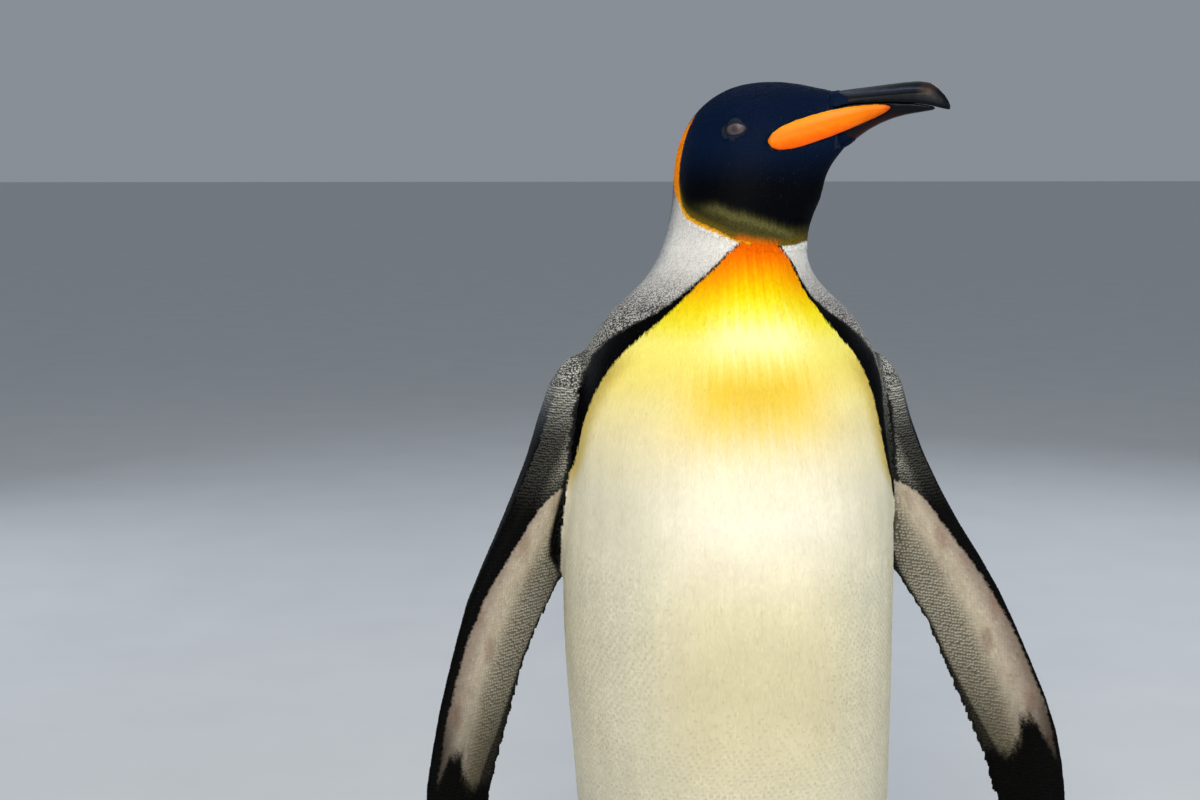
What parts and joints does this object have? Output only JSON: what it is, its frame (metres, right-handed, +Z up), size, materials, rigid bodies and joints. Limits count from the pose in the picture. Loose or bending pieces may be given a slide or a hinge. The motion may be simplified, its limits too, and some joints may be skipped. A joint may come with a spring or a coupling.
{
  "type": "king penguin figure",
  "caption": "Life-size standing king penguin with its head turned to its left, flippers held out from the body, webbed clawed feet and a short tail.",
  "frame": {"origin": "middle of the model's box at the floor that it stands on", "axes": "+Z up, -Y the way the breast faces, +X the bird's left side"},
  "size_m": [0.5538, 0.2686, 0.8488],
  "materials": {
    "white_plumage": "short dense feathers, satin",
    "grey_plumage": "short dense feathers, satin",
    "black_plumage": "short dense feathers, satin",
    "bill_horn": "glossy black horn",
    "plate_horn": "smooth orange horn",
    "eye": "wet dark brown",
    "foot_skin": "scaly matt skin",
    "claw_horn": "dark horn"
  },
  "bodies": {
    "root": {"bill_lower": "bill_horn", "bill_plate_left": "plate_horn", "bill_plate_right": "plate_horn", "bill_upper": "bill_horn", "claw_hind_left": "claw_horn", "claw_hind_right": "claw_horn", "claw_inner_left": "claw_horn", "claw_inner_right": "claw_horn", "claw_middle_left": "claw_horn", "claw_middle_right": "claw_horn", "claw_outer_left": "claw_horn", "claw_outer_right": "claw_horn", "eye_left": "eye", "eye_right": "eye", "flipper_left": "black_plumage", "flipper_right": "black_plumage", "foot_left": "foot_skin", "foot_right": "foot_skin", "head": "black_plumage", "leg_left": "white_plumage", "leg_right": "white_plumage", "neck": "grey_plumage", "tail": "black_plumage", "trunk": "white_plumage"}
  },
  "joints": []
}
